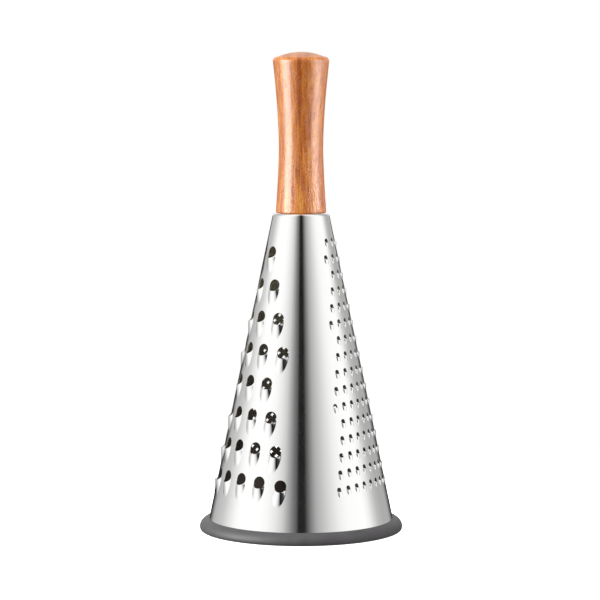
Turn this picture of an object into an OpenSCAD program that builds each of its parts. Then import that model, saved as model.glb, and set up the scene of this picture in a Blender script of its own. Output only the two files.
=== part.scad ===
// Conical hand grater: a stamped sheet-steel cone with three grating faces, a turned
// wooden handle screwed on from inside, and a soft ring that grips the table.
// It stands on z = 0 with its axis on Z. The plain band between the coarse and the
// fine face looks roughly towards -Y.

/* [Cone] */
// Outer radius of the cone, where its slope would meet the table
cone_foot_r = 59.5; // [50:0.1:70]
// Outer radius of the cone, where its slope would meet the flat top
cone_top_r = 17.4; // [17:0.1:20]
// Height of the cone's flat top above the table
cone_h = 200; // [190:0.5:240]
// Thickness of the steel sheet
sheet_t = 0.5; // [0.4:0.05:0.6]
// Outer bend radius between the slope and the flat top
shoulder_r = 2.6; // [1.5:0.1:3]
// Height of the sheet's lower edge above the table
edge_lift = 1.8; // [1:0.1:2.5]
// Height of the hem folded to the inside of the lower edge
hem_h = 5; // [3:0.1:6]
// Width of the lap where the rolled sheet is welded to itself
lap_w = 6; // [4:0.1:8]
// Diameter of each spot weld on the lap
weld_d = 2.4; // [1.6:0.1:3]
// Distance from one spot weld to the next
weld_pitch = 16; // [12:0.5:30]
// Depth that each spot weld is pressed in
weld_depth = 0.15; // [0.1:0.01:0.25]

/* [Faces] */
// Turn of the plain front band from the -Y direction
front_turn = 6.5; // [-20:0.5:20]
// Height of the lowest row of fine teeth above the table, along the slope
foot_margin = 35.5; // [32:0.1:45]
// Least plain steel between the flat top and the top row of teeth, along the slope
crown_margin = 14; // [10:0.5:20]

/* [Coarse teeth] */
// Radius of a coarse hole
coarse_hole_r = 3.8; // [2.5:0.1:4]
// Sideways pitch of the coarse teeth
coarse_pitch = 14.3; // [12:0.1:15]
// Pitch of the rows of coarse teeth down the slope
coarse_row_pitch = 20.24; // [18:0.02:21]
// Length of a coarse tooth's hood below the middle of its hole
coarse_hood_l = 12.9; // [10:0.1:15]
// Height of a coarse tooth's cutting lip above the sheet
coarse_lip_h = 1.75; // [1.2:0.05:2.5]

/* [Fine teeth] */
// Radius of a fine hole
fine_hole_r = 1.4; // [1:0.05:1.7]
// Sideways pitch of the fine teeth
fine_pitch = 6.7; // [5.5:0.1:7]
// Pitch of the rows of fine teeth down the slope
fine_row_pitch = 10.12; // [9:0.02:10.5]
// Length of a fine tooth's hood below the middle of its hole
fine_hood_l = 4.8; // [4:0.1:6.5]
// Height of a fine tooth's cutting lip above the sheet
fine_lip_h = 1; // [0.7:0.05:1.3]

/* [Rasp holes] */
// Side of a square rasp hole, which stands on one corner
rasp_hole_w = 1.7; // [1.2:0.05:2]
// Sideways pitch of the rasp holes
rasp_pitch = 7; // [6:0.1:8]
// Pitch of the rows of rasp holes down the slope
rasp_row_pitch = 6.4; // [6:0.1:7]

/* [Handle] */
// Height of the wooden handle
handle_h = 100; // [85:0.5:120]
// Radius of the handle where it stands on the cone
handle_foot_r = 15.8; // [13:0.1:16]
// Smallest radius of the handle
handle_waist_r = 13.8; // [12:0.1:15]
// Height of the handle's waist above its lower end
handle_waist_h = 39; // [30:0.5:50]
// Radius of the handle at its upper rim
handle_rim_r = 17.6; // [15:0.1:20]
// Radius of the rounding on the upper rim
handle_rim_round = 2.8; // [1:0.1:3]
// Rise of the domed end above the rim's rounding
handle_dome_h = 3; // [1:0.1:4]
// Chamfer on the handle's lower edge
handle_chamfer = 0.5; // [0.2:0.1:1]

/* [Base ring] */
// Height of the soft ring on the outside of the cone
ring_h = 7.3; // [6.5:0.1:12]
// Distance that the soft ring stands out past the foot of the cone's slope
ring_out = 4.5; // [3:0.1:8]
// Height at which the soft ring is widest
ring_wide_h = 2; // [1.2:0.1:3]
// Radius lost at the ring's rounded lower edge
ring_under = 1.2; // [0.5:0.1:2]
// Height of the ring's inner lip above the table
ring_lip_h = 7; // [6.5:0.1:10]
// Thickness of the ring's inner lip
ring_lip_t = 2.4; // [1.5:0.1:3]

/* [Fastening] */
// Thickness of the reinforcing plate under the flat top
plate_t = 1.2; // [0.8:0.1:2]
// Radius of the reinforcing plate
plate_r = 13; // [10:0.1:13.5]
// Thread diameter of the handle's screw
screw_d = 5; // [4:0.1:6]
// Length of the screw's thread
screw_l = 16; // [14:0.5:18]
// Pitch of the screw's thread
screw_pitch = 0.8; // [0.7:0.05:1]
// Diameter of the screw's head
head_d = 9.5; // [8:0.1:12]
// Height of the screw's head
head_h = 3.4; // [2.5:0.1:4]
// Size across the flats of the hexagonal socket in the head
socket_w = 4; // [3:0.1:5]
// Depth of the socket
socket_depth = 2; // [1.5:0.1:2.2]
// Thickness of the flat washer
washer_t = 1; // [0.6:0.1:1.5]
// Diameter of the flat washer
washer_d = 12; // [10:0.1:14]
// Thickness of the spring washer
lock_t = 1.2; // [0.8:0.1:1.6]
// Width of the spring washer's ring
lock_w = 1.6; // [1:0.1:2]
// Gap in the spring washer
lock_gap = 1; // [0.5:0.1:2]
// Length of the brass insert in the handle
insert_l = 12; // [10:0.5:16]
// Diameter of the insert over its wood thread
insert_d = 8; // [7.5:0.1:10]
// Pitch of the insert's wood thread
insert_pitch = 2; // [1.5:0.1:2.5]
// Depth of the insert's wood thread
insert_thread_h = 0.6; // [0.3:0.1:0.7]

/* [Hidden] */
$fn = 64;

steel = "gainsboro";
zinc = "silver";
brass = "goldenrod";
wood = "peru";
ring_grey = "dimgray";

// Clearance between pieces that are pushed together, clearance round a bolt in a plate,
// and the overrun of a cut past the face it opens
fit = 0.05;
bolt_gap = 0.3;
over = 1;

// The cone's slope: its half angle, the height of its point, and the steel's width
// measured level
half_angle = atan((cone_foot_r - cone_top_r) / cone_h);
point_z = cone_foot_r / tan(half_angle);
sheet_w = sheet_t / cos(half_angle);
function cone_r(z) = (point_z - z) * tan(half_angle);
function slope_s(z) = (point_z - z) / cos(half_angle);

// Turns of the three faces, whose middles stand a third of a turn apart
face_count = 3;
face_step = 360 / face_count;
front = front_turn - 90;
fine_turn = front + face_step / 2;
coarse_turn = front - face_step / 2;
rasp_turn = fine_turn + face_step;
lap_turn = fine_turn + face_step / 2;

// Teeth in each row, from the lowest row up. Alternate rows are staggered by half a
// pitch, and a low cone has room for fewer rows.
coarse_rows = [6, 5, 4, 3, 4, 3, 2, 1];
fine_rows = [12, 11, 10, 9, 8, 9, 8, 7, 6, 5, 6, 5, 4, 3, 4, 3];
fine_low_row = slope_s(0) - foot_margin;
coarse_low_row = fine_low_row - fine_row_pitch / 4;
function rows_up(low_row, row_pitch, most) =
    min(most, floor((low_row - slope_s(cone_h) - crown_margin) / row_pitch) + 1);
fine_top_row = fine_low_row
    - (rows_up(fine_low_row, fine_row_pitch, len(fine_rows)) - 1) * fine_row_pitch;

// The rasp face is as high as the fine face, with a plain margin on each side
rasp_margin = 2.4 * rasp_pitch;
rasp_row_count = floor((fine_low_row - fine_top_row) / rasp_row_pitch) + 1;
function face_half_w(s) = s * tan(face_step / 2 * sin(half_angle));
function rasp_count(row, s) =
    let (odd = row % 2, room = face_half_w(s) - rasp_margin)
    odd + 2 * floor(room / rasp_pitch + (1 - odd) / 2);

// Corner points of an arc
function arc(centre, r, from, to, steps = 6) =
    [for (i = [0 : steps])
        let (a = from + (to - from) * i / steps)
            centre + [r[0] * cos(a), r[1] * sin(a)]];

// Carries its children to the slope of the cone. x is measured sideways and s down the
// slope from the cone's point, both on the flat sheet before it is rolled. There +X runs
// down the sheet along its face's middle line, and +Z points out of the steel.
module on_sheet(face_turn, x, s) {
    from_point = norm([x, s]);
    off = atan2(x, s);
    rotate([0, 0, face_turn + off / sin(half_angle)])
        translate([from_point * sin(half_angle), 0, point_z - from_point * cos(half_angle)])
            rotate([0, 90 - half_angle, 0])
                rotate([0, 0, -off])
                    children();
}

module on_teeth(face_turn, rows, pitch, row_pitch, low_row)
    for (row = [0 : rows_up(low_row, row_pitch, len(rows)) - 1], i = [0 : rows[row] - 1])
        on_sheet(face_turn, (i - (rows[row] - 1) / 2) * pitch, low_row - row * row_pitch)
            children();

module on_coarse_teeth()
    on_teeth(coarse_turn, coarse_rows, coarse_pitch, coarse_row_pitch, coarse_low_row)
        children();

module on_fine_teeth()
    on_teeth(fine_turn, fine_rows, fine_pitch, fine_row_pitch, fine_low_row)
        children();

module on_rasp_holes()
    for (row = [0 : rasp_row_count - 1])
        let (s = fine_top_row + row * rasp_row_pitch, n = rasp_count(row, s))
            for (i = [0 : 1 : n - 1])
                on_sheet(rasp_turn, (i - (n - 1) / 2) * rasp_pitch, s)
                    children();

// Radius of a hood's arch, which is a little wider than the hole where its lip stands
function arch_r(hole_r, lip_h) = (pow(hole_r + sheet_t / 2, 2) + pow(lip_h, 2)) / (2 * lip_h);

// A bar under the sheet that rises towards the hole: its top line leaves the sheet at
// the hood's tip, where the bar ends inside the steel, and is lip_h above it at the
// hole's lower edge. A wall is left above a bar that is thinner by one sheet.
module rising_bar(hole_r, length, lip_h, wall, start, sides) {
    tilt = atan(lip_h / (length - hole_r));
    bar_l = (length - start) / cos(tilt);
    bar_r = arch_r(hole_r, lip_h);
    translate([length, 0, 0])
        rotate([0, tilt, 0])
            translate([-bar_l, 0, -bar_r])
                rotate([0, 90, 0])
                    cylinder(r = bar_r - wall, h = bar_l + sheet_t, $fn = sides);
}

// A tooth's hood: the bar's upper side, cut off inside the sheet
module hood(hole_r, length, lip_h, sides) {
    reach = 3 * length;
    difference() {
        rising_bar(hole_r, length, lip_h, 0, hole_r / 3, sides);
        translate([-reach / 2, -reach / 2, -reach - sheet_t * 0.8])
            cube(reach);
    }
}

module hole(hole_r, lip_h, sides)
    translate([0, 0, -over - sheet_t])
        cylinder(r = hole_r, h = 2 * over + sheet_t + 2 * lip_h, $fn = sides);

// One third of the rolled sheet, with its share of the flat top and of the hem
module third(face_turn) {
    bend_z = cone_h - shoulder_r;
    bend = [cone_r(bend_z) - shoulder_r / cos(half_angle), bend_z];
    inner_r = shoulder_r - sheet_t;
    hem_top = edge_lift + hem_h;
    hole_r = screw_d / 2 + bolt_gap;
    rotate_extrude(angle = face_step, start = face_turn - face_step / 2)
        polygon(concat(
            [[cone_r(edge_lift), edge_lift]],
            arc(bend, [shoulder_r, shoulder_r], half_angle, 90),
            [[hole_r, cone_h], [hole_r, cone_h - sheet_t]],
            arc(bend, [inner_r, inner_r], 90, half_angle),
            [[cone_r(hem_top) - sheet_w, hem_top],
             [cone_r(hem_top) - 2 * sheet_w, hem_top],
             [cone_r(edge_lift) - 2 * sheet_w, edge_lift]]));
}

module coarse_face() difference() {
    union() {
        third(coarse_turn);
        on_coarse_teeth() hood(coarse_hole_r, coarse_hood_l, coarse_lip_h, $fn);
    }
    on_coarse_teeth() rising_bar(coarse_hole_r, coarse_hood_l, coarse_lip_h, sheet_t, 0, $fn);
    on_coarse_teeth() hole(coarse_hole_r, coarse_lip_h, $fn);
}

// The fine teeth are small, so six flat sides stand for their round forms, and the
// hollow under a hood, less than half a millimetre deep, stays filled
module fine_face() difference() {
    union() {
        third(fine_turn);
        on_fine_teeth() hood(fine_hole_r, fine_hood_l, fine_lip_h, 6);
    }
    on_fine_teeth() hole(fine_hole_r, fine_lip_h, 6);
}

module rasp_face() difference() {
    third(rasp_turn);
    on_rasp_holes()
        rotate([0, 0, 45])
            cube([rasp_hole_w, rasp_hole_w, 2 * over], center = true);
}

// The lap, where the sheet's outer layer lies on its inner one, with spot welds pressed in
module lap() {
    low = ring_h + sheet_t;
    high = cone_h - shoulder_r;
    turn = lap_w / cone_r((low + high) / 2) * 180 / PI;
    weld_count = floor((high - low) / weld_pitch);
    difference() {
        rotate_extrude(angle = turn, start = lap_turn - turn / 2)
            polygon([[cone_r(low) - sheet_w / 2, low], [cone_r(low) + sheet_w, low],
                     [cone_r(high) + sheet_w, high], [cone_r(high) - sheet_w / 2, high]]);
        for (i = [1 : weld_count])
            on_sheet(lap_turn, 0, slope_s(low) - (i - 0.5) * weld_pitch)
                translate([0, 0, sheet_t - weld_depth])
                    cylinder(d = weld_d, h = over);
    }
}

module grating_cone() {
    color(steel) {
        coarse_face();
        fine_face();
        rasp_face();
        lap();
    }
}

// Heights of the fastening, from the flat top down
plate_z = cone_h - sheet_t - plate_t;
washer_z = plate_z - washer_t;
lock_z = washer_z - lock_t;
head_z = lock_z - head_h;

module crown_plate() {
    color(steel) translate([0, 0, plate_z]) difference() {
        cylinder(r = plate_r, h = plate_t);
        translate([0, 0, -over])
            cylinder(d = screw_d + 2 * bolt_gap, h = plate_t + 2 * over);
    }
}

module base_ring() {
    groove_out = [for (z = [edge_lift, ring_h]) [cone_r(z) + fit, z]];
    groove_in = [for (z = [edge_lift, ring_lip_h]) [cone_r(z) - 2 * sheet_w - fit, z]];
    rise = [cone_foot_r + ring_out - groove_out[1][0], ring_h - ring_wide_h];
    flat_r = cone_foot_r + ring_out - ring_under;
    lip_r = groove_in[1][0] - ring_lip_t;
    color(ring_grey) rotate_extrude(convexity = 4)
        polygon(concat(
            arc([flat_r, ring_wide_h], [ring_under, ring_wide_h], -90, 0),
            arc([groove_out[1][0], ring_wide_h], rise, 90 / 8, 90, 7),
            [groove_out[0], groove_in[0], groove_in[1]],
            [[lip_r, ring_lip_h], [lip_r, ring_under], [lip_r + ring_under, 0]]));
}

// The handle's radius at a height above its foot: it draws in to the waist and swells
// again towards the rim, both along power curves
lower_power = 1.35;
upper_power = 1.7;
rim_h = handle_h - handle_dome_h - handle_rim_round;
function handle_r(h) = handle_waist_r + (h < handle_waist_h
    ? (handle_foot_r - handle_waist_r) * pow(1 - h / handle_waist_h, lower_power)
    : (handle_rim_r - handle_waist_r)
        * pow((h - handle_waist_h) / (rim_h - handle_waist_h), upper_power));

module handle() {
    slices = 28;
    bore_r = insert_d / 2 + fit;
    tip_room = screw_pitch * 3;
    dome_r = handle_rim_r - handle_rim_round;
    dome_z = handle_h - handle_dome_h;
    color(wood) translate([0, 0, cone_h]) difference() {
        rotate_extrude()
            polygon(concat(
                [[0, 0], [handle_foot_r - handle_chamfer, 0]],
                [for (i = [0 : slices])
                    let (h = handle_chamfer + (rim_h - handle_chamfer) * i / slices)
                        [handle_r(h), h]],
                arc([dome_r, rim_h], [handle_rim_round, handle_rim_round], 90 / 6, 90, 5),
                [for (i = [1 : slices / 4])
                    let (share = 1 - i * 4 / slices)
                        [dome_r * share, dome_z + handle_dome_h * (1 - share * share)]]));
        translate([0, 0, -over])
            cylinder(r = bore_r, h = insert_l + tip_room + over);
        translate([0, 0, insert_l + tip_room])
            cylinder(r1 = bore_r, r2 = 0, h = bore_r / 2);
    }
}

// Profile of a thread of rings: crests at crest_r, roots a depth below
function ring_thread(crest_r, depth, pitch, low, high) =
    let (turns = floor((high - low) / pitch), start = high - turns * pitch)
    concat([[crest_r - depth, low]],
           [for (i = [0 : turns - 1])
               for (p = [[crest_r - depth, start + i * pitch],
                         [crest_r, start + (i + 0.4) * pitch],
                         [crest_r, start + (i + 0.6) * pitch]]) p],
           [[crest_r - depth, high]]);

module handle_insert() {
    bore_r = screw_d / 2 + fit;
    crest_r = insert_d / 2;
    color(brass) translate([0, 0, cone_h]) rotate_extrude()
        polygon(concat(
            [[bore_r, 0]],
            ring_thread(crest_r, insert_thread_h, insert_pitch, 0, insert_l),
            [[bore_r, insert_l]]));
}

module handle_screw() {
    crest_r = screw_d / 2;
    depth = screw_pitch * 0.6;
    shank_z = head_z + head_h;
    round_r = head_h / 2;
    color(zinc) difference() {
        rotate_extrude()
            polygon(concat(
                [[0, head_z]],
                arc([head_d / 2 - round_r, head_z + round_r], [round_r, round_r], -90, 0),
                [[head_d / 2, shank_z], [crest_r - depth, shank_z]],
                ring_thread(crest_r, depth, screw_pitch, shank_z, shank_z + screw_l),
                [[0, shank_z + screw_l]]));
        translate([0, 0, head_z - over])
            cylinder(d = socket_w / cos(30), h = socket_depth + over, $fn = 6);
    }
}

module washer(outer_r, thick, z)
    translate([0, 0, z]) difference() {
        cylinder(r = outer_r, h = thick);
        translate([0, 0, -over])
            cylinder(d = screw_d + bolt_gap, h = thick + 2 * over);
    }

module flat_washer()
    color(zinc) washer(washer_d / 2, washer_t, washer_z);

module lock_washer() {
    outer_r = (screw_d + bolt_gap) / 2 + lock_w;
    color(zinc) difference() {
        washer(outer_r, lock_t, lock_z);
        translate([0, -lock_gap / 2, lock_z - over])
            cube([outer_r + over, lock_gap, lock_t + 2 * over]);
    }
}

grating_cone();
crown_plate();
base_ring();
handle();
handle_insert();
handle_screw();
flat_washer();
lock_washer();
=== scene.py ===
import math
import bpy
import numpy as np
from mathutils import Matrix, Vector
from mathutils.geometry import delaunay_2d_cdt


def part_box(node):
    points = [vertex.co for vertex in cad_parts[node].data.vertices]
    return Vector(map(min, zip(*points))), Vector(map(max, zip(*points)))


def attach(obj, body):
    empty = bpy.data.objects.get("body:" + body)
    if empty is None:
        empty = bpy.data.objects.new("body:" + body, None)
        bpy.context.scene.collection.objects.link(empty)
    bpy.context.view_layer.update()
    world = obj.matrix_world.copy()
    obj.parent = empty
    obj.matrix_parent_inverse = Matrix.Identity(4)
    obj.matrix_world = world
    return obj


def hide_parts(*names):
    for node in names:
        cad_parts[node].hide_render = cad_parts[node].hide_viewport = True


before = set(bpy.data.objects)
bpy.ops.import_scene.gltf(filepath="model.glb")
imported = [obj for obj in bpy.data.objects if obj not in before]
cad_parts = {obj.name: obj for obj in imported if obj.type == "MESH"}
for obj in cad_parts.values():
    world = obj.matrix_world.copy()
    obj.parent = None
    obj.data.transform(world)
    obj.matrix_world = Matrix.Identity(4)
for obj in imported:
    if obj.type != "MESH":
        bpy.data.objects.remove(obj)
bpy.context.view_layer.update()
mm = 0.001  # sizes are written in millimetres and turned to metres where a thing is made
coneFoot, coneTop = (corner.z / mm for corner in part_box("grating_cone"))
handleFoot, handleTop = (corner.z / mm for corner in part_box("handle"))
ringFoot, ringTop = (corner.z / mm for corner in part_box("base_ring"))
print("frame loaded, the cone stands from", round(coneFoot, 2), "to", round(coneTop, 2), "mm")


def hexColour(code):
    # sRGB hex to linear: c / 12.92 near black, and ((c + 0.055) / 1.055) ^ 2.4 above it
    srgb = [int(code[i:i + 2], 16) / 255 for i in (1, 3, 5)]
    return (*[c / 12.92 if c <= 0.04045 else ((c + 0.055) / 1.055) ** 2.4 for c in srgb], 1.0)


def setInputs(tree, node, inputs):
    # an input takes a number, a colour, a socket, or a node, whose first output it then gets
    for key, value in inputs.items():
        if isinstance(value, bpy.types.Node):
            value = value.outputs[0]
        if isinstance(value, bpy.types.NodeSocket):
            tree.links.new(value, node.inputs[key])
        else:
            node.inputs[key].default_value = value


def addNode(tree, kind, inputs=None, stops=None, **settings):
    # one node with its settings and inputs; stops are a colour ramp's (place, colour) pairs.
    # A Mix node's factor is input 0, its two colours are inputs 6 and 7, and the mixed colour
    # is output 2.
    node = tree.nodes.new(kind)
    for name, value in settings.items():
        setattr(node, name, value)
    setInputs(tree, node, inputs or {})
    if stops:
        elements = node.color_ramp.elements
        elements.remove(elements[-1])
        elements[0].position, elements[0].color = stops[0]
        for place, colour in stops[1:]:
            elements.new(place).color = colour
    return node


smooth = dict(interpolation_type="SMOOTHSTEP")  # for a Map Range node that eases in and out
noiseLow, noiseHigh = 0.3, 0.7  # a noise pattern hardly leaves the range between these two
markStrength = 0.4  # the share of a mark's depth that shows, on all metal but the polished side


def newMaterial(name, shader):
    material = bpy.data.materials.new(name)
    material.use_nodes = True
    tree = material.node_tree
    surface = tree.nodes["Principled BSDF"]
    setInputs(tree, surface, shader)
    return material, tree, surface


def newPiece(name, points, faces, materials, cornerNormals=None, sharp=None):
    # faces is a list of (n, sides) index arrays; points are in millimetres
    mesh = bpy.data.meshes.new(name)
    corners = np.concatenate([f.ravel() for f in faces])
    sides = np.concatenate([np.full(len(f), f.shape[1]) for f in faces])
    mesh.vertices.add(len(points))
    mesh.vertices.foreach_set("co", (points * mm).astype(np.float32).ravel())
    mesh.loops.add(len(corners))
    mesh.loops.foreach_set("vertex_index", corners.astype(np.int32))
    mesh.polygons.add(len(sides))
    starts = np.concatenate([[0], np.cumsum(sides)[:-1]])
    mesh.polygons.foreach_set("loop_start", starts.astype(np.int32))
    mesh.polygons.foreach_set("use_smooth", np.ones(len(sides), bool))
    mesh.update(calc_edges=True)
    if cornerNormals is not None:
        mesh.normals_split_custom_set(cornerNormals.tolist())
    if sharp is not None:
        mesh.set_sharp_from_angle(angle=math.radians(sharp))
    piece = bpy.data.objects.new(name, mesh)
    bpy.context.scene.collection.objects.link(piece)
    for material in materials:
        mesh.materials.append(material)
    return piece


def placePiece(piece, node):
    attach(piece, "root")
    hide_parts(node)
    print(piece.name, "built:", sum(len(p.vertices) - 2 for p in piece.data.polygons), "triangles")


def quadGrid(index):
    # one quad from each point of a grid of point numbers to the next one in its row, and back
    # through the two beside them in the next row
    return np.stack([index[..., :-1, :-1], index[..., :-1, 1:], index[..., 1:, 1:],
                     index[..., 1:, :-1]], -1).reshape(-1, 4)


def closedRows(index):
    # the grid with its first column repeated after its last, so that each row closes
    return np.concatenate([index, index[..., :1]], -1)


def closedLoop(index):
    # the grid with its first row repeated too, so that the profile closes as well
    return closedRows(np.concatenate([index, index[:1]]))


def revolved(profile, steps):
    # point (r, z) of the profile goes to (r cos t, r sin t, z), t in equal steps
    t = np.linspace(0, 2 * np.pi, steps, endpoint=False)
    r, z = profile[:, 0, None], profile[:, 1, None]
    points = np.stack([r * np.cos(t), r * np.sin(t), z + 0 * t], -1).reshape(-1, 3)
    return points, np.arange(len(points)).reshape(-1, steps)


# Camera
camera = dict(place=(-0.65, -1649, 291.5), pitch=5.08, lens=158.3, sensor=36)
view = bpy.data.cameras.new("camera")
view.lens, view.sensor_width = camera["lens"], camera["sensor"]
viewer = bpy.data.objects.new("camera", view)
bpy.context.scene.collection.objects.link(viewer)
aimed = Matrix.Rotation(math.radians(90 - camera["pitch"]), 4, "X")
viewer.matrix_world = Matrix.Translation(Vector(camera["place"]) * mm) @ aimed
bpy.context.scene.camera = viewer
bpy.context.scene.view_settings.view_transform = "Standard"


# Grating sheet
# x runs sideways and s down the slope from the cone's point, both on the flat sheet
# before it is rolled. A turn is measured in degrees from -Y towards +X. A tooth's hole has
# the radius holeR; its hood is lip high at the hole's lower edge, and ends at length below
# the hole's middle. patch says how each tooth's own mesh is laid out.
sheet = dict(footR=59.5, topR=17.4, thick=0.5, bendR=2.6, boreR=2.8, hemHeight=5.0, seamTurn=126.5,
             rimSteps=144, gridStep=7.0, gridTurn=5.0, toothRoom=1.2, bendRows=9, topRows=4)
coarse = dict(turn=-53.5, rows=[1, 2, 3, 4, 3, 4, 5, 6], pitch=14.3, rowPitch=20.24, footMargin=38.03,
              holeR=3.8, length=12.9, lip=1.75, across=2.0, outline=2.0, fall=1.0, start=0.1,
              blend=0.14, around=48, rings=10)
fine = dict(turn=66.5, rows=[3, 4, 3, 4, 5, 6, 5, 6, 7, 8, 9, 8, 9, 10, 11, 12], pitch=6.7,
            rowPitch=10.12, footMargin=35.5, holeR=1.4, length=4.8, lip=0.8, across=5.0, outline=2.8,
            fall=0.7, start=0.5, blend=0.06, around=24, rings=6)
rasp = dict(turn=186.5, rows=48, pitch=7.0, rowPitch=3.2, footMargin=36.9, spread=60.0, margin=16.8,
            holeR=1.45, burr=0.5, cornerShare=0.25, reach=0.85, around=8, rings=3)
patch = dict(belowShare=1.12, besideBlends=3.0, crowding=1.25, risenShare=0.95, tipShare=0.0004,
             probe=0.02)

slope = math.atan((sheet["footR"] - sheet["topR"]) / coneTop)
sinA, cosA = math.sin(slope), math.cos(slope)
pointZ = sheet["footR"] / math.tan(slope)  # height of the cone's point
middleTurn = sheet["seamTurn"] - 180  # this turn lies in the middle of the flat sheet
wall = sheet["thick"] / cosA  # the sheet's thickness, measured level
bendZ = coneTop - sheet["bendR"]
sheetTop = (pointZ - bendZ - sheet["bendR"] * sinA) / cosA  # down the slope from the point
sheetFoot = (pointZ - coneFoot) / cosA


def coneRadius(z):
    # grows evenly from nothing at the cone's point
    return (pointZ - z) * math.tan(slope)


def smoothStep(t):
    # 3 t^2 - 2 t^3, held at 0 and 1 outside
    t = np.clip(t, 0, 1)
    return t * t * (3 - 2 * t)


def hoodHalf(tooth):
    # half a hood's width where it is widest: the hole's radius and half the sheet's thickness
    return tooth["holeR"] + sheet["thick"] / 2


def hoodHeight(u, v, tooth):
    # a hood that falls from the lip (share = 0, u = holeR) to nothing (share = 1, u = length):
    # height = lip height * (1 - share) ^ fall * (1 - |v / half width| ^ across), where
    # half width = widest * (1 - share ^ outline) ^ 0.5. A soft maximum joins it to the flat
    # sheet, and the hole's edge begins to rise at start times its radius below its middle.
    share = np.clip((u - tooth["holeR"]) / (tooth["length"] - tooth["holeR"]), 0, 1)
    half = hoodHalf(tooth) * np.sqrt(np.maximum(1 - share ** tooth["outline"], patch["tipShare"]))
    bar = tooth["lip"] * (1 - share) ** tooth["fall"] * (1 - np.abs(v / half) ** tooth["across"])
    soft = tooth["blend"]
    raised = np.where(bar > soft, bar, np.where(bar < -soft, 0, (bar + soft) ** 2 / (4 * soft)))
    raised = np.where(u > tooth["length"] + 2 * soft, 0, raised)
    rising = (u / tooth["holeR"] - tooth["start"]) / (patch["risenShare"] - tooth["start"])
    return raised * smoothStep(rising)


def burrHeight(u, v, tooth):
    # the square hole's burr: highest at the middle of each side, a quarter of that at its
    # corners, and falling with the square of the distance to nothing at its reach
    out = np.abs(u) + np.abs(v)
    side = 1 - np.abs(np.abs(u) - np.abs(v)) / out
    fall = np.clip(1 - (out - tooth["holeR"]) / tooth["reach"], 0, 1)
    low = tooth["cornerShare"]
    return tooth["burr"] * (low + (1 - low) * side) * fall ** 2


def toothPatch(tooth):
    # ring r of a tooth's patch blends from the hole's edge (share 0) to a round or half
    # elliptical outline (share 1), with the rings crowded towards the edge
    a = np.linspace(0, 2 * np.pi, tooth["around"], endpoint=False)
    circle = np.stack([np.cos(a), np.sin(a)], -1)
    if "burr" in tooth:
        inner = tooth["holeR"] * circle / np.abs(circle).sum(1, keepdims=True)
        outer = (tooth["holeR"] + tooth["reach"]) * circle
    else:
        inner = tooth["holeR"] * circle
        below = tooth["length"] * patch["belowShare"]
        beside = hoodHalf(tooth) + tooth["blend"] * patch["besideBlends"]
        outer = circle * np.stack([np.where(np.cos(a) > 0, below, beside), beside + 0 * a], -1)
    share = (np.linspace(0, 1, tooth["rings"] + 1) ** patch["crowding"])[:, None, None]
    return inner * (1 - share) + outer * share


def toothPlaces(tooth):
    # rows are straight on the flat sheet, and every second one is staggered by half a pitch.
    # The coarse and the fine face list their teeth row by row, the rasp face fills its spread.
    filled = "spread" in tooth
    count = tooth["rows"] if filled else len(tooth["rows"])
    lastRow = pointZ / cosA - tooth["footMargin"]
    places = []
    for row in range(count):
        s = lastRow - (count - 1 - row) * tooth["rowPitch"]
        if filled:
            odd = row % 2
            room = s * math.tan(math.radians(tooth["spread"]) * sinA) - tooth["margin"]
            number = odd + 2 * math.floor(room / tooth["pitch"] + (1 - odd) / 2)
        else:
            number = tooth["rows"][row]
        places += [((i - (number - 1) / 2) * tooth["pitch"], s) for i in range(number)]
    return np.array(places)


def toothField(tooth):
    # flat places, heights and slopes of the heights for every patch point of every tooth. A
    # slope is the difference between the heights a probe's length to either side.
    height = burrHeight if "burr" in tooth else hoodHeight
    outline, places = toothPatch(tooth), toothPlaces(tooth)
    u, v = outline[..., 0], outline[..., 1]
    small = patch["probe"]
    rise = height(u, v, tooth)
    slopeU = (height(u + small, v, tooth) - height(u - small, v, tooth)) / (2 * small)
    slopeV = (height(u, v + small, tooth) - height(u, v - small, tooth)) / (2 * small)
    rise[-1] = slopeU[-1] = slopeV[-1] = 0
    swing = math.radians((tooth["turn"] - middleTurn + 180) % 360 - 180) * sinA
    c, k = math.cos(swing), math.sin(swing)
    x = places[:, None, None, 0] + v
    s = places[:, None, None, 1] + u
    flat = np.stack([c * x + k * s, -k * x + c * s], -1)
    slopes = np.stack([c * slopeV + k * slopeU, -k * slopeV + c * slopeU], -1)
    many = (len(places), 1, 1)
    return flat, np.tile(rise, many), np.tile(slopes, (*many, 1))


def rolledSheet(flat, rise, slopes):
    # rho, psi are polar on the flat sheet; the turn on the cone is psi / sin(slope). The
    # normal leans back by the height's slopes along and across the sheet.
    rho, psi = np.hypot(flat[:, 0], flat[:, 1]), np.arctan2(flat[:, 0], flat[:, 1])
    turn = psi / sinA + math.radians(middleTurn)
    sinT, cosT = np.sin(turn), np.cos(turn)
    normal = np.stack([cosA * sinT, -cosA * cosT, sinA + 0 * turn], -1)
    down = np.stack([sinA * sinT, -sinA * cosT, -cosA + 0 * turn], -1)
    side = np.stack([cosT, sinT, 0 * turn], -1)
    base = np.stack([rho * sinA * sinT, -rho * sinA * cosT, pointZ - rho * cosA], -1)
    alongDown = slopes[:, 0] * np.sin(psi) + slopes[:, 1] * np.cos(psi)
    alongSide = slopes[:, 0] * np.cos(psi) - slopes[:, 1] * np.sin(psi)
    points = base + rise[:, None] * normal
    normal = normal - alongDown[:, None] * down - alongSide[:, None] * side
    return points, normal / np.linalg.norm(normal, axis=1, keepdims=True)


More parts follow.
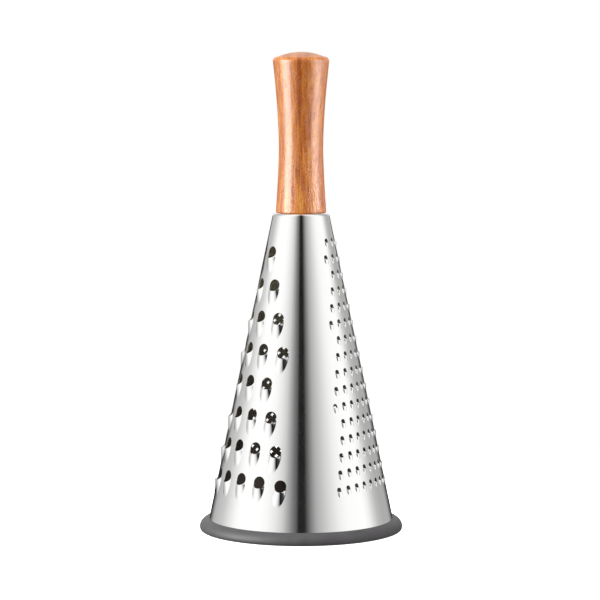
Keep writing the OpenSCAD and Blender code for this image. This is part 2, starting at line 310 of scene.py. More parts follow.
def loosePoints(outlines):
    # points that keep the plain parts of the sheet finely divided, none near a tooth
    rows = int((sheetFoot - sheetTop) / sheet["gridStep"])
    turns = np.radians(np.arange(sheet["gridTurn"], 360, sheet["gridTurn"]) - 180)
    points = []
    for row in range(1, rows):
        rho = sheetTop + (sheetFoot - sheetTop) * row / rows
        stagger = math.radians(sheet["gridTurn"] / 2) * (row % 2 - 0.5)
        psi = (turns + stagger) * sinA
        points.append(np.stack([rho * np.sin(psi), rho * np.cos(psi)], -1))
    points = np.concatenate(points)
    keep = np.ones(len(points), bool)
    for outline in outlines:
        middle = outline.mean(1)
        reach = np.linalg.norm(outline - middle[:, None], axis=2).max(1) + sheet["toothRoom"]
        near = np.linalg.norm(points[:, None] - middle[None], axis=2) < reach
        keep &= ~near.any(1)
    return points[keep]


def flatPlan(outlines):
    # the flat sheet's points are its upper and lower arc, the two sides of its seam, loose
    # points, and then the outlines of the teeth. Triangles join them, outside the teeth.
    psi = np.linspace(-np.pi, np.pi, sheet["rimSteps"] + 1) * sinA
    arc = np.stack([np.sin(psi), np.cos(psi)], -1)
    seamRows = int((sheetFoot - sheetTop) / sheet["gridStep"]) + 1
    seam = np.linspace(sheetTop, sheetFoot, seamRows)[1:-1, None]
    blocks = [sheetTop * arc, sheetFoot * arc, seam * arc[0], seam * arc[-1], loosePoints(outlines),
              *[outline.reshape(-1, 2) for outline in outlines]]
    starts = np.concatenate([[0], np.cumsum([len(block) for block in blocks])])
    plan = np.concatenate(blocks)
    upper, lower = np.arange(starts[0], starts[1]), np.arange(starts[1], starts[2])
    left = np.array([upper[0], *range(starts[2], starts[3]), lower[0]])
    right = np.array([upper[-1], *range(starts[3], starts[4]), lower[-1]])
    lines = [np.stack([line[:-1], line[1:]], -1) for line in (upper, lower, left, right)]
    owner = np.full(len(plan), -1)  # which tooth's outline a point is on, if any
    for start, outline in zip(starts[5:], outlines):
        here = start + np.arange(outline[..., 0].size).reshape(outline.shape[:2])
        lines.append(np.stack([here, np.roll(here, -1, axis=1)], -1).reshape(-1, 2))
        owner[here] = owner.max() + 1 + np.arange(len(here))[:, None]
    edges = np.concatenate(lines).tolist()
    inLines, nearness = 1, 1e-6  # only the triangles inside the outer lines are kept
    found = delaunay_2d_cdt([Vector(p) for p in plan], edges, [], inLines, nearness, False)
    if len(found[0]) != len(plan):
        raise RuntimeError("the flat sheet's lines cross each other")
    triangles = np.array(found[2])
    owners = owner[triangles]
    inTooth = (owners.min(1) >= 0) & (owners.min(1) == owners.max(1))
    triangles = triangles[~inTooth]
    a, b, c = (plan[triangles[:, i]] for i in range(3))
    area = (b[:, 0] - a[:, 0]) * (c[:, 1] - a[:, 1]) - (c[:, 0] - a[:, 0]) * (b[:, 1] - a[:, 1])
    triangles[area > 0] = triangles[area > 0][:, ::-1]
    merged = np.arange(len(plan))
    merged[right] = left
    return plan, merged[triangles], starts[5:]


def crown():
    # the shoulder and the flat top, row by row: an arc (r = middle + bendR cos lean,
    # z = bendZ + bendR sin lean) from the slope to level, then level to the bore
    lean = np.linspace(slope, np.pi / 2, sheet["bendRows"] + 1)[1:]
    middle = coneRadius(bendZ) - sheet["bendR"] / cosA
    flatR = np.linspace(middle, sheet["boreR"], sheet["topRows"] + 1)[1:]
    r = np.concatenate([middle + sheet["bendR"] * np.cos(lean), flatR])[:, None, None]
    z = np.concatenate([bendZ + sheet["bendR"] * np.sin(lean), coneTop + 0 * flatR])[:, None, None]
    lean = np.concatenate([lean, np.pi / 2 + 0 * flatR])[:, None, None]
    turns = np.linspace(-np.pi, np.pi, sheet["rimSteps"], endpoint=False) + math.radians(middleTurn)
    outward = np.stack([np.sin(turns), -np.cos(turns), 0 * turns], -1)
    up = np.array([0, 0, 1])
    points, normals = r * outward + z * up, np.cos(lean) * outward + np.sin(lean) * up
    return points.reshape(-1, 3), normals.reshape(-1, 3)


def thickened(points, normals, outer, openEdges):
    # the inner side is the outer one moved in by the sheet's thickness, and a wall joins the
    # two along each open edge, square to both
    number = len(points)
    both = np.concatenate([points, points - sheet["thick"] * normals])
    here, after = (np.concatenate([edge[i].ravel() for edge in openEdges]) for i in (0, 1))
    rims = np.stack([here, after, after + number, here + number], -1)
    faces = [*outer, rims, *[f[:, ::-1] + number for f in outer]]
    rimNormals = np.cross(both[after] - both[here], -normals[here])
    rimNormals /= np.linalg.norm(rimNormals, axis=1, keepdims=True)
    bothNormals = np.concatenate([normals, -normals])
    cornerNormals = [bothNormals[f].reshape(-1, 3) for f in faces]
    cornerNormals[len(outer)] = np.repeat(rimNormals, 4, axis=0)
    used = np.zeros(len(both), bool)
    for f in faces:
        used[f] = True
    newIndex = np.cumsum(used) - 1
    return both[used], [newIndex[f] for f in faces], np.concatenate(cornerNormals)


def buildSheet(materials):
    # the plan and the teeth's patches are rolled up, the crown is added, and the whole skin
    # is given its thickness. The last ring of each patch is on the plan already.
    fields = [toothField(tooth) for tooth in (coarse, fine, rasp)]
    plan, triangles, starts = flatPlan([flat[:, -1] for flat, rise, tilt in fields])
    flats, rises, tilts = [plan], [np.zeros(len(plan))], [np.zeros((len(plan), 2))]
    quads, openEdges = [], []
    total = len(plan)
    for start, (flat, rise, tilt) in zip(starts, fields):
        count, rings, around = rise.shape
        own = total + np.arange(count * (rings - 1) * around).reshape(count, rings - 1, around)
        last = start + np.arange(count * around).reshape(count, 1, around)
        index = np.concatenate([own, last], 1)
        quads.append(quadGrid(closedRows(index).swapaxes(1, 2)))  # so turned, they face outwards
        openEdges.append((index[:, 0], np.roll(index[:, 0], -1, axis=1)))
        flats.append(flat[:, :-1].reshape(-1, 2))
        rises.append(rise[:, :-1].ravel())
        tilts.append(tilt[:, :-1].reshape(-1, 2))
        total += own.size
    points, normals = rolledSheet(*[np.concatenate(part) for part in (flats, rises, tilts)])

    crownPoints, crownNormals = crown()
    upper = np.arange(sheet["rimSteps"])
    lower = upper + sheet["rimSteps"] + 1
    rows = np.arange(len(crownPoints)).reshape(-1, sheet["rimSteps"]) + total
    quads.append(quadGrid(closedRows(np.concatenate([upper[None], rows]))))
    openEdges += [(rows[-1], np.roll(rows[-1], -1)), (np.roll(lower, -1), lower)]
    points, faces, cornerNormals = thickened(
        np.concatenate([points, crownPoints]), np.concatenate([normals, crownNormals]),
        [triangles, np.concatenate(quads)], openEdges)
    piece = newPiece("grating_sheet", points, faces, materials, cornerNormals)
    side = np.repeat([0, 0, 1, 1, 1], [len(f) for f in faces])  # the rims count as inner side
    piece.data.polygons.foreach_set("material_index", side.astype(np.int32))
    return piece


polish = dict(colour="#f9f9f8", beltGap=1.2, beltLong=25.0, cloud=22.0, gloss=(0.05, 0.085),
              strength=0.03, depth=0.02)


def polishedSteel():
    # stainless sheet polished with a fine belt after rolling: a cold mirror, hardly blurred,
    # with faint lines round the cone and a slightly uneven gloss
    material, tree, surface = newMaterial("belt_polished_stainless", {
        "Metallic": 1.0, "Base Color": hexColour(polish["colour"])})
    place = addNode(tree, "ShaderNodeTexCoord").outputs["Object"]
    scale = [1 / (polish[size] * mm) for size in ("beltLong", "beltLong", "beltGap")]
    lines = addNode(tree, "ShaderNodeMapping", {"Vector": place, "Scale": scale})
    belt = addNode(tree, "ShaderNodeTexNoise", {  # belt lines, drawn coarser than they are
        "Vector": lines, "Scale": 1.0, "Detail": 2.0})
    clouds = addNode(tree, "ShaderNodeTexNoise", {
        "Vector": place, "Scale": 1 / (polish["cloud"] * mm), "Detail": 3.0})
    gloss = addNode(tree, "ShaderNodeMapRange", {
        "Value": clouds, "From Min": noiseLow, "From Max": noiseHigh, "To Min": polish["gloss"][0],
        "To Max": polish["gloss"][1]})
    bump = addNode(tree, "ShaderNodeBump", {
        "Height": belt, "Strength": polish["strength"], "Distance": polish["depth"] * mm})
    setInputs(tree, surface, {"Roughness": gloss, "Normal": bump})
    return material


def workedMetal(name, finish):
    # a metal whose tool or mill marks, their size given along X, Y and Z, shade its colour,
    # its gloss and a shallow bump. It may turn paler between two heights, as painted light and shade.
    material, tree, surface = newMaterial(name, {"Metallic": finish.get("metallic", 1.0)})
    place = addNode(tree, "ShaderNodeTexCoord").outputs["Object"]
    scaled = addNode(tree, "ShaderNodeMapping", {
        "Vector": place, "Scale": [1 / (size * mm) for size in finish["marks"]]})
    marks = addNode(tree, "ShaderNodeTexNoise", {"Vector": scaled, "Scale": 1.0, "Detail": 4.0})
    colour = addNode(tree, "ShaderNodeValToRGB", {"Fac": marks}, [
        (noiseLow, hexColour(finish["dull"])), (noiseHigh, hexColour(finish["bright"]))])
    # painted light and shade: between two heights the colour turns pale
    if "pale" in finish:
        height = addNode(tree, "ShaderNodeSeparateXYZ", {0: place}).outputs["Z"]
        share = addNode(tree, "ShaderNodeMapRange", {
            "Value": height, "From Min": finish["paleFrom"] * mm, "From Max": finish["paleTo"] * mm})
        colour = addNode(tree, "ShaderNodeMix", {0: share, 6: colour, 7: hexColour(finish["pale"])},
                         data_type="RGBA").outputs[2]
    rough = addNode(tree, "ShaderNodeMapRange", {
        "Value": marks, "From Min": noiseLow, "From Max": noiseHigh, "To Min": finish["gloss"][0],
        "To Max": finish["gloss"][1]})
    bump = addNode(tree, "ShaderNodeBump", {
        "Height": marks, "Strength": markStrength, "Distance": finish["depth"] * mm})
    setInputs(tree, surface, {"Base Color": colour, "Roughness": rough, "Normal": bump})
    return material


# the same sheet's unpolished inner side, as it left the rolling mill: dull, with painted shade
# as its colour, dark brown inside the closed cone, darker towards the foot and paler higher up
innerFinishAndShade = dict(dull="#443c36", bright="#5b524a", pale="#d8d4c4", paleFrom=40.0, paleTo=150.0,
                   marks=(3.0, 3.0, 3.0), gloss=(0.42, 0.56), depth=0.02, metallic=0.75)
outerSteel = polishedSteel()
innerSteel = workedMetal("mill_finish_painted_shade", innerFinishAndShade)
grater = buildSheet([outerSteel, innerSteel])
placePiece(grater, "grating_cone")


# Lap and hem
lap = dict(wide=6.0, edgeRound=0.2, edgeShares=[1, 1, 0.985, 0.96, 0.92], flatShare=0.86,
           columns=15, rowStep=0.5, endStep=0.3, aboveRing=0.5, weldPitch=16.0, weldAcross=2.4,
           weldDepth=0.15)


def buildLap():
    # the lapped edge lies one sheet thickness proud of the cone. It has rounded edges, and at
    # each spot weld a dimple of depth * (1 - (distance / radius)^2)^2.
    half = lap["wide"] / 2
    foot, top = ringTop + lap["aboveRing"], coneTop - sheet["bendR"]
    edge = np.array(lap["edgeShares"])
    flatPart = np.linspace(-lap["flatShare"], lap["flatShare"], lap["columns"])
    across = np.concatenate([-edge, flatPart, edge[::-1]]) * half
    long = (top - foot) / cosA
    inner = np.linspace(lap["endStep"], long - lap["endStep"], int(long / lap["rowStep"]))
    along = np.concatenate([[0, 0], inner, [long, long]])[:, None]
    rho = (pointZ - foot) / cosA - along
    psi = (math.pi + across[None] / coneRadius((foot + top) / 2)) * sinA
    aside = (psi - math.pi * sinA) * rho
    weld = (np.floor(along / lap["weldPitch"]) + 0.5) * lap["weldPitch"]
    away = np.hypot(aside, along - weld) / (lap["weldAcross"] / 2)
    dimple = lap["weldDepth"] * np.where(away < 1, (1 - away ** 2) ** 2, 0)
    share = np.clip(1 - (half - np.abs(across)) / lap["edgeRound"], 0, 1)
    rise = sheet["thick"] - lap["edgeRound"] * (1 - np.sqrt(1 - share ** 2)) - dimple
    rise[:, [0, -1]] = rise[[0, -1]] = -sheet["thick"] / 2
    flat = np.stack([rho * np.sin(psi), rho * np.cos(psi)], -1).reshape(-1, 2)
    points = rolledSheet(flat, rise.ravel(), np.zeros_like(flat))[0]
    faces = [quadGrid(np.arange(len(points)).reshape(rise.shape))]
    return newPiece("welded_lap", points, faces, [outerSteel], sharp=50)


def buildHem():
    # the sheet's lower edge, folded flat against its inner side: a turned profile with four
    # corners, one and two sheet thicknesses in from the cone's radius
    top = coneFoot + sheet["hemHeight"]
    z = np.array([coneFoot, coneFoot, top, top])
    r = coneRadius(z) - wall * np.array([2, 1, 1, 2])
    points, index = revolved(np.stack([r, z], -1), sheet["rimSteps"])
    faces = [quadGrid(closedLoop(index))]
    return newPiece("folded_hem", points, faces, [innerSteel], sharp=40)


placePiece(buildLap(), "grating_cone")
placePiece(buildHem(), "grating_cone")


# Turned handle
handle = dict(footR=15.8, waistR=13.8, waist=39.0, rimR=17.6, rimRound=2.8, dome=3.0, chamfer=0.5,
              boreR=4.05, boreDepth=14.4, lowerPower=1.35, upperPower=1.7, steps=128, sideRows=60,
              rimRows=8, domeRows=13, middleR=0.001, middleShare=0.001)


def handleRadius(h, rim):
    # draws in to the waist and swells again to the rim, both along power curves
    below = np.clip(1 - h / handle["waist"], 0, 1) ** handle["lowerPower"]
    above = np.clip((h - handle["waist"]) / (rim - handle["waist"]), 0, 1) ** handle["upperPower"]
    return (handle["waistR"] + (handle["footR"] - handle["waistR"]) * below
            + (handle["rimR"] - handle["waistR"]) * above)


def buildHandle(material):
    # a turned profile: bore, foot, side, a quarter circle at the rim, and a dome whose height
    # falls with the square of the radius
    tall = handleTop - handleFoot
    rim = tall - handle["dome"] - handle["rimRound"]
    h = np.linspace(handle["chamfer"], rim, handle["sideRows"])
    side = np.stack([handleRadius(h, rim), h], -1)
    a = np.linspace(0, np.pi / 2, handle["rimRows"] + 1)[1:]
    flatR = handle["rimR"] - handle["rimRound"]
    rounding = np.stack([flatR + handle["rimRound"] * np.cos(a),
                         rim + handle["rimRound"] * np.sin(a)], -1)
    share = np.linspace(1, handle["middleShare"], handle["domeRows"] + 1)[1:]
    dome = np.stack([flatR * share, tall - handle["dome"] * share ** 2], -1)
    foot = np.array([[handle["middleR"], handle["boreDepth"]], [handle["boreR"], handle["boreDepth"]],
                     [handle["boreR"], 0], [handle["footR"] - handle["chamfer"], 0]])
    points, index = revolved(np.concatenate([foot, side, rounding, dome]), handle["steps"])
    points[:, 2] += handleFoot
    ends = np.stack([index[0, ::-1], index[-1]])
    return newPiece("turned_handle", points, [quadGrid(closedRows(index)), ends], [material], sharp=40)


# drift, stripes, pores and specks are the sizes of their patterns across and along the handle.
# A list of three numbers is a stain: the pattern's value where it starts, the value where it is
# full, and how far the colour has gone there. endBelow and endInto are measured from the dome's
# foot.
wood = dict(straw="#f2a03a", tan="#d67b24", rust="#b15014", heart="#a3450f", pore="#7a3812",
            endGrain="#ab785b", endRing="#84543c", drift=(14.0, 70.0), stripes=(1.3, 28.0),
            pores=(0.55, 3.2), specks=(0.6, 1.0), ringGap=5.5, ringBend=5.0,
            stripeColours=[(0.3, "rust"), (0.48, "tan"), (0.66, "straw")],
            ringStain=(0.2, 1.0, 0.4), endStain=(0.2, 1.0, 0.6), paleSpecks=(0.54, 0.7, 0.65),
            darkSpecks=(0.46, 0.32, 0.7), openPores=(0.56, 0.74, 0.65), endBelow=1.2, endInto=0.3,
            endShare=0.75, streakBend=3.4, streakFade=8.0, streakShare=0.85, coreShare=0.3,
            streaks=[(-1.2, 2.3, 56, 140), (-2.0, 2.6, 20, 33), (5.2, 1.7, 42, 66)])
# The coat lies thinner on the end grain. Its roughness grows as the specks' value goes through
# speckRange, and coatGloss stands in for that in files that can't hold a pattern there. A pit
# opens as the pores' value goes through pitRange. The surface's height is specks - pitShare *
# pits, and it shows more and more from openLeft to openRight.
varnish = dict(coat=0.6, endCoat=0.2, coatGloss=0.15, speckGloss=(0.07, 0.26), speckRange=(0.4, 0.62),
               gloss=(0.34, 0.5), openLeft=-6.0, openRight=8.0, openness=(0.4, 1.0),
               pitRange=(0.5, 0.7), pitShare=0.8, poreDepth=0.12)


def handleWood():
    # oiled and varnished acacia, turned along its grain: orange-brown stripes with darker
    # heartwood streaks, short dark pores, fine speckles, and a clear coat over them that
    # lies smooth towards one side and sinks into the open pores towards the other
    material, tree, surface = newMaterial("varnished_acacia", {
        "IOR": 1.5, "Specular IOR Level": 0.25, "Coat IOR": 1.55, "Coat Weight": varnish["coat"],
        "Coat Roughness": varnish["coatGloss"]})
    place = addNode(tree, "ShaderNodeTexCoord").outputs["Object"]
    axes = addNode(tree, "ShaderNodeSeparateXYZ", {0: place})
    x, z = axes.outputs["X"], axes.outputs["Z"]

    def grain(size, detail, **more):
        # noise of one size across the handle and another, mostly longer one along it
        wide, long = size
        scale = (1 / (wide * mm), 1 / (wide * mm), 1 / (long * mm))
        scaled = addNode(tree, "ShaderNodeMapping", {"Vector": place, "Scale": scale})
        return addNode(tree, "ShaderNodeTexNoise", {
            "Vector": scaled, "Scale": 1.0, "Detail": detail, **more})

    def stained(under, colour, pattern, stain):
        # a colour turns to another one where the pattern goes from the stain's start to its end
        low, high, most = wood[stain]
        share = addNode(tree, "ShaderNodeMapRange", {
            "Value": pattern, "From Min": low, "From Max": high, "To Max": most}, **smooth)
        return addNode(tree, "ShaderNodeMix", {0: share, 6: under, 7: hexColour(wood[colour])},
                       data_type="RGBA").outputs[2]

    drift, stripes = grain(wood["drift"], 2.0), grain(wood["stripes"], 3.0, Distortion=0.25)
    pores, specks = grain(wood["pores"], 2.0), grain(wood["specks"], 2.0)
    # growth rings lie across X, bent by the slow drift
    ringPhase = addNode(tree, "ShaderNodeMath", {0: x, 1: 1 / (wood["ringGap"] * mm)},
                        operation="MULTIPLY")
    bent = addNode(tree, "ShaderNodeMath", {0: drift, 1: wood["ringBend"], 2: ringPhase},
                   operation="MULTIPLY_ADD")
    rings = addNode(tree, "ShaderNodeMath", {0: bent, 1: 1.0}, operation="PINGPONG")
    base = addNode(tree, "ShaderNodeValToRGB", {"Fac": stripes}, [
        (level, hexColour(wood[stripe])) for level, stripe in wood["stripeColours"]])
    colour = stained(base, "rust", rings, "ringStain")

    # a heartwood streak (middle, half width, lower and upper end) is a thin layer at one X,
    # bent by the drift, between two heights above the handle's foot. It is full out to
    # coreShare of its half width.
    offset = addNode(tree, "ShaderNodeMath", {0: drift, 1: wood["streakBend"] * mm, 2: x},
                     operation="MULTIPLY_ADD")
    for middle, wide, low, high in wood["streaks"]:
        away = addNode(tree, "ShaderNodeMath", {0: offset, 1: (middle + wood["streakBend"] / 2) * mm},
                       operation="SUBTRACT")
        aside = addNode(tree, "ShaderNodeMath", {0: away}, operation="ABSOLUTE")
        thin = addNode(tree, "ShaderNodeMapRange", {
            "Value": aside, "From Min": wood["coreShare"] * wide * mm, "From Max": wide * mm,
            "To Min": 1.0, "To Max": 0.0}, **smooth)
        ends = [(low, 0.0, 1.0), (high, wood["streakShare"], 0.0)]
        rise, fall = [addNode(tree, "ShaderNodeMapRange", {
            "Value": z, "From Min": (handleFoot + level - wood["streakFade"]) * mm,
            "From Max": (handleFoot + level + wood["streakFade"]) * mm, "To Min": before,
            "To Max": after}, **smooth) for level, before, after in ends]
        tall = addNode(tree, "ShaderNodeMath", {0: rise, 1: fall}, operation="MULTIPLY")
        share = addNode(tree, "ShaderNodeMath", {0: thin, 1: tall}, operation="MULTIPLY")
        colour = addNode(tree, "ShaderNodeMix", {0: share, 6: colour, 7: hexColour(wood["heart"])},
                         data_type="RGBA").outputs[2]
    colour = stained(colour, "straw", specks, "paleSpecks")
    colour = stained(colour, "rust", specks, "darkSpecks")
    colour = stained(colour, "pore", pores, "openPores")

    # the domed end shows end grain, which takes up more oil and leaves less coat
    domeZ = handleTop - handle["dome"]
    end = addNode(tree, "ShaderNodeMapRange", {
        "Value": z, "From Min": (domeZ - wood["endBelow"]) * mm,
        "From Max": (domeZ + wood["endInto"]) * mm, "To Max": wood["endShare"]}, **smooth)
    endColour = stained(hexColour(wood["endGrain"]), "endRing", rings, "endStain")
    colour = addNode(tree, "ShaderNodeMix", {0: end, 6: colour, 7: endColour},
                     data_type="RGBA").outputs[2]
    coat = addNode(tree, "ShaderNodeMapRange", {
        "Value": end, "From Max": wood["endShare"], "To Min": varnish["coat"],
        "To Max": varnish["endCoat"]}, **smooth)
    coatRough = addNode(tree, "ShaderNodeMapRange", {
        "Value": specks, "From Min": varnish["speckRange"][0], "From Max": varnish["speckRange"][1],
        "To Min": varnish["speckGloss"][0], "To Max": varnish["speckGloss"][1]}, **smooth)
    rough = addNode(tree, "ShaderNodeMapRange", {
        "Value": stripes, "From Min": noiseLow, "From Max": noiseHigh,
        "To Min": varnish["gloss"][0], "To Max": varnish["gloss"][1]}, **smooth)
    pits = addNode(tree, "ShaderNodeMapRange", {
        "Value": pores, "From Min": varnish["pitRange"][0], "From Max": varnish["pitRange"][1]},
        **smooth)
    height = addNode(tree, "ShaderNodeMath", {0: pits, 1: -varnish["pitShare"], 2: specks},
                     operation="MULTIPLY_ADD")
    openness = addNode(tree, "ShaderNodeMapRange", {
        "Value": x, "From Min": varnish["openLeft"] * mm, "From Max": varnish["openRight"] * mm,
        "To Min": varnish["openness"][0], "To Max": varnish["openness"][1]}, **smooth)
    bump = addNode(tree, "ShaderNodeBump", {
        "Height": height, "Strength": openness, "Distance": varnish["poreDepth"] * mm})
    setInputs(tree, surface, {"Base Color": colour, "Roughness": rough, "Coat Weight": coat,
                              "Coat Roughness": coatRough, "Normal": bump, "Coat Normal": bump})
    return material


placePiece(buildHandle(handleWood()), "handle")


# Soft ring
# its outer radius stays just inside the facets of the solid ring
ring = dict(outerR=63.98, wide=2.0, under=1.2, lipTop=7.0, lipThick=2.4, gap=0.05, underRows=6,
            riseRows=16, steps=192)
rubber = dict(dark="#474547", light="#504e50", texture=0.6, dust=9.0, gloss=(0.5, 0.68), strength=0.25,
              depth=0.05)


def buildRing(material):
    # a turned profile: a rounded underside, a quarter ellipse up to the cone, then a groove
    # that holds the sheet with its hem, and a lip inside it
    widest = ringFoot + ring["wide"]
    a = np.linspace(-np.pi / 2, 0, ring["underRows"] + 1)
    flatR = ring["outerR"] - ring["under"]
    underside = np.stack([flatR + ring["under"] * np.cos(a), widest + ring["wide"] * np.sin(a)], -1)
    b = np.linspace(0, np.pi / 2, ring["riseRows"] + 1)[1:]
    edgeR = coneRadius(ringTop) + ring["gap"]
    rise = np.stack([edgeR + (ring["outerR"] - edgeR) * np.cos(b),
                     widest + (ringTop - widest) * np.sin(b)], -1)
    lipTop = ringFoot + ring["lipTop"]
    lipR = coneRadius(lipTop) - 2 * wall - ring["gap"]
    insideR = lipR - ring["lipThick"]
    inner = np.array([[coneRadius(coneFoot) + ring["gap"], coneFoot],
                      [coneRadius(coneFoot) - 2 * wall - ring["gap"], coneFoot],
                      [lipR, lipTop], [insideR, lipTop], [insideR, ringFoot + ring["under"]],
                      [insideR + ring["under"], ringFoot]])
    points, index = revolved(np.concatenate([underside, rise, inner]), ring["steps"])
    faces = [quadGrid(closedLoop(index))]
    return newPiece("grip_ring", points, faces, [material], sharp=40)


def ringRubber():
    # injection-moulded rubber: matt grey with a fine spark-eroded texture, drawn three times
    # as coarse as it is, and faint dust
    material, tree, surface = newMaterial("moulded_grey_rubber", {"IOR": 1.5})
    place = addNode(tree, "ShaderNodeTexCoord").outputs["Object"]
    texture = addNode(tree, "ShaderNodeTexNoise", {
        "Vector": place, "Scale": 1 / (rubber["texture"] * mm), "Detail": 3.0})
    dust = addNode(tree, "ShaderNodeTexNoise", {
        "Vector": place, "Scale": 1 / (rubber["dust"] * mm), "Detail": 4.0})
    colour = addNode(tree, "ShaderNodeValToRGB", {"Fac": dust}, [
        (noiseLow, hexColour(rubber["dark"])), (noiseHigh, hexColour(rubber["light"]))])
    rough = addNode(tree, "ShaderNodeMapRange", {
        "Value": dust, "To Min": rubber["gloss"][0], "To Max": rubber["gloss"][1]})
    bump = addNode(tree, "ShaderNodeBump", {
        "Height": texture, "Strength": rubber["strength"], "Distance": rubber["depth"] * mm})
    setInputs(tree, surface, {"Base Color": colour, "Roughness": rough, "Normal": bump})
    return material


gripRing = buildRing(ringRubber())
placePiece(gripRing, "base_ring")


# Floor, world and lamps
# Turns are measured from the camera's side (-Y) towards +X, and elevations from the horizon,
# both in degrees. The grater stands between white screens: polished steel sees a dark gap at
# the camera, bright screens to both sides of it and dimmer cloth behind. Near the horizon the
# screens are dimmer to the right of the camera. A white ceiling closes the room, and reaches
# further down behind the grater.
studio = dict(mirrorGain=1.04, softGain=1.64, softLean=0.5, horizon=3.0, screens=[
    (-180, 0.03), (-160, 0.04), (-152, 0.2), (-143, 0.45), (-118, 0.58), (-104, 0.78), (-92, 0.96),
    (-84, 1.02), (-56, 1.02), (-44, 0.95), (-33, 0.81), (-24, 0.62), (-17, 0.37), (-11, 0.19), (-6, 0.1),
    (-3.5, 0.012), (4.8, 0.012), (8, 0.085), (12, 0.19), (20, 0.41), (38, 0.7),
    (50, 0.88), (62, 0.98), (88, 1.02), (97, 0.89), (106, 0.66), (114, 0.5), (126, 0.42),
    (145, 0.41), (153, 0.2), (161, 0.05), (180, 0.05)])
lowGap = dict(turns=[(-14, 1.0), (-4, 0.45), (8, 0.3), (18, 0.08), (36, 0.1), (52, 1.0)],
              below=3.0, above=12.0)
ceiling = dict(turns=[(-165, 1.0), (-140, 0.0), (140, 0.0), (165, 1.0)], below=1.0, above=4.0,
               high=80.0, whole=89.0)
white = (1, 1, 1, 1)


def buildWorld():
    world = bpy.data.worlds.new("studio")
    bpy.context.scene.world = world
    world.use_nodes = True
    tree = world.node_tree
    tree.nodes.clear()
    place = addNode(tree, "ShaderNodeTexCoord").outputs["Generated"]
    axes = addNode(tree, "ShaderNodeSeparateXYZ", {0: place})
    back = addNode(tree, "ShaderNodeMath", {0: axes.outputs["Y"], 1: -1.0}, operation="MULTIPLY")
    turn = addNode(tree, "ShaderNodeMath", {0: axes.outputs["X"], 1: back}, operation="ARCTAN2")
    share = addNode(tree, "ShaderNodeMapRange", {
        "Value": turn, "From Min": -math.pi, "From Max": math.pi})

    def screenRing(levels):
        # the brightness at each turn
        return addNode(tree, "ShaderNodeValToRGB", {"Fac": share}, [
            ((degrees + 180) / 360, (level, level, level, 1.0)) for degrees, level in levels])

    def above(low, high):
        # 0 below one elevation of the ray and 1 above another, in degrees
        return addNode(tree, "ShaderNodeMapRange", {
            "Value": axes.outputs["Z"], "From Min": math.sin(math.radians(low)),
            "From Max": math.sin(math.radians(high))}, **smooth)

    screens = addNode(tree, "ShaderNodeMix", {
        0: above(lowGap["above"], lowGap["below"]), 6: screenRing(studio["screens"]),
        7: screenRing(lowGap["turns"])}, data_type="RGBA", blend_type="MULTIPLY").outputs[2]
    behind = addNode(tree, "ShaderNodeMath", {
        0: screenRing(ceiling["turns"]), 1: above(ceiling["below"], ceiling["above"])},
        operation="MULTIPLY")
    cover = addNode(tree, "ShaderNodeMath", {0: behind, 1: above(ceiling["high"], ceiling["whole"])},
                    operation="MAXIMUM")
    seenInSteel = addNode(tree, "ShaderNodeMix", {0: cover, 6: screens, 7: white},
                          data_type="RGBA").outputs[2]
    mirror = addNode(tree, "ShaderNodeBackground", {
        "Color": seenInSteel, "Strength": studio["mirrorGain"]})
    # the soft light comes from above the horizon only, and more of it from the left (-X):
    # strength = gain - gain * lean * X
    leaning = addNode(tree, "ShaderNodeMath", {
        0: axes.outputs["X"], 1: -studio["softGain"] * studio["softLean"], 2: studio["softGain"]},
        operation="MULTIPLY_ADD")
    sky = addNode(tree, "ShaderNodeMath", {0: leaning, 1: above(-studio["horizon"], studio["horizon"])},
                  operation="MULTIPLY")
    soft = addNode(tree, "ShaderNodeBackground", {"Color": white, "Strength": sky})
    plain = addNode(tree, "ShaderNodeBackground", {"Color": white, "Strength": 1.0})
    path = addNode(tree, "ShaderNodeLightPath")
    lit = addNode(tree, "ShaderNodeMixShader", {0: path.outputs["Is Glossy Ray"], 1: soft, 2: mirror})
    seen = addNode(tree, "ShaderNodeMixShader", {0: path.outputs["Is Camera Ray"], 1: lit, 2: plain})
    addNode(tree, "ShaderNodeOutputWorld", {"Surface": seen})


softbox = dict(distance=1200, tall=1100, aim=250)
lamps = [
    dict(name="left_softbox", turn=-68, wide=800, middle=310, watts=40, unlit=[grater], reflected=True),
    dict(name="right_softbox", turn=78, wide=700, middle=350, watts=26, unlit=[grater, gripRing],
         reflected=True),
    dict(name="left_fill", turn=-112, wide=800, middle=310, watts=7, unlit=[grater, gripRing],
         reflected=False),
    dict(name="right_fill", turn=112, wide=700, middle=350, watts=13, unlit=[grater, gripRing],
         reflected=False)]


def addLamp(name, turn, wide, middle, watts, unlit, reflected):
    # a soft lamp that faces the handle from this turn: either it is only seen reflected in
    # gloss, or it only lights dull surfaces. The unlit pieces get neither.
    lamp = bpy.data.lights.new(name, "AREA")
    lamp.shape, lamp.energy = "RECTANGLE", watts
    lamp.size, lamp.size_y = wide * mm, softbox["tall"] * mm
    holder = bpy.data.objects.new(name, lamp)
    bpy.context.scene.collection.objects.link(holder)
    a, distance = math.radians(turn), softbox["distance"]
    holder.location = Vector((distance * math.sin(a), -distance * math.cos(a), middle)) * mm
    aim = Vector((0, 0, softbox["aim"] * mm)) - holder.location
    holder.rotation_euler = aim.to_track_quat("-Z", "Y").to_euler()
    shaded = bpy.data.collections.new(name + "_unlit")
    for piece in unlit:
        shaded.objects.link(piece)
    for entry in shaded.collection_objects:
        entry.light_linking.link_state = "EXCLUDE"
    holder.light_linking.receiver_collection = shaded
    holder.visible_glossy, holder.visible_diffuse = reflected, not reflected


paper = dict(colour="#f4f4f4", size=4000, drop=0.1, glow=0.84, nearShadow=100, plain=450)


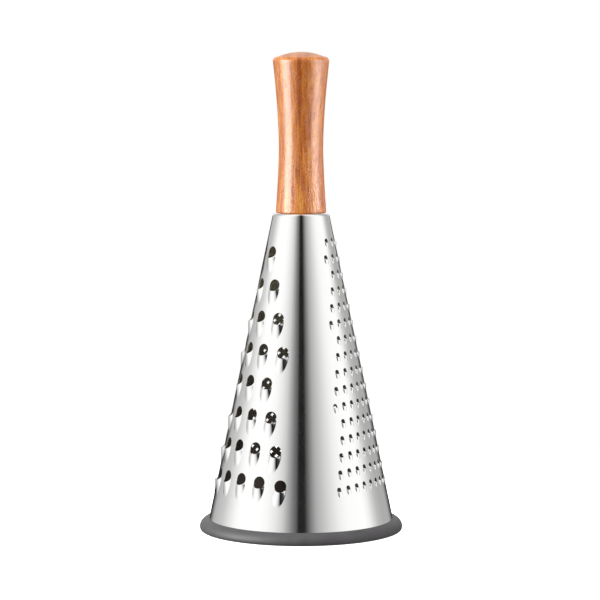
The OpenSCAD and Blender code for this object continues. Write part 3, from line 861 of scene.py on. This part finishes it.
def buildFloor():
    # white paper that keeps the grater's shadow near it, and turns to plain white further out
    size, low = paper["size"], -paper["drop"]
    points = np.array([[-size, -size, low], [size, -size, low], [size, size, low], [-size, size, low]])
    material, tree, surface = newMaterial("white_paper", {
        "Roughness": 0.9, "Base Color": hexColour(paper["colour"]), "Emission Color": white})
    place = addNode(tree, "ShaderNodeTexCoord").outputs["Object"]
    away = addNode(tree, "ShaderNodeVectorMath", {0: place}, operation="LENGTH").outputs["Value"]
    far = addNode(tree, "ShaderNodeMapRange", {
        "Value": away, "From Min": paper["nearShadow"] * mm, "From Max": paper["plain"] * mm}, **smooth)
    toCamera = addNode(tree, "ShaderNodeLightPath").outputs["Is Camera Ray"]
    seen = addNode(tree, "ShaderNodeMath", {0: far, 1: toCamera}, operation="MULTIPLY")
    glow = addNode(tree, "ShaderNodeMath", {0: toCamera, 1: paper["glow"]}, operation="MULTIPLY")
    setInputs(tree, surface, {"Emission Strength": glow})
    plain = addNode(tree, "ShaderNodeEmission", {"Color": white, "Strength": 1.0})
    above = addNode(tree, "ShaderNodeMixShader", {0: seen, 1: surface, 2: plain})
    # the paper can't be seen from below, so that the grater's inside can be
    below = addNode(tree, "ShaderNodeNewGeometry").outputs["Backfacing"]
    clear = addNode(tree, "ShaderNodeBsdfTransparent")
    both = addNode(tree, "ShaderNodeMixShader", {0: below, 1: above, 2: clear})
    setInputs(tree, tree.nodes["Material Output"], {"Surface": both})
    floor = newPiece("floor", points, [np.array([[0, 1, 2, 3]])], [material])
    floor.visible_glossy = floor.visible_diffuse = False


buildWorld()
for settings in lamps:
    addLamp(**settings)
buildFloor()
print("studio built")


# Fastening
fastening = {
    # electroplated zinc: bluish grey, with small uneven patches of gloss
    "zinc_plated_steel": dict(
        nodes=["handle_screw", "flat_washer", "lock_washer"], dull="#b4b8be", bright="#ced1d5",
        marks=(0.8, 0.8, 0.8), gloss=(0.24, 0.4), depth=0.01),
    # brass turned on a lathe: yellow, with fine lines round its axis
    "turned_brass": dict(nodes=["handle_insert"], dull="#b8914a", bright="#d8b468",
                         marks=(4.0, 4.0, 0.25), gloss=(0.18, 0.32), depth=0.01),
    # stainless plate punched from a rolled strip: light grey, with lines along the strip
    "punched_stainless": dict(nodes=["crown_plate"], dull="#bdbdbb", bright="#d8d8d6",
                              marks=(9.0, 0.3, 0.3), gloss=(0.28, 0.42), depth=0.01)}

for name, finish in fastening.items():
    metal = workedMetal(name, finish)
    for node in finish["nodes"]:
        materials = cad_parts[node].data.materials
        materials.clear()
        materials.append(metal)
print("fastening finished")
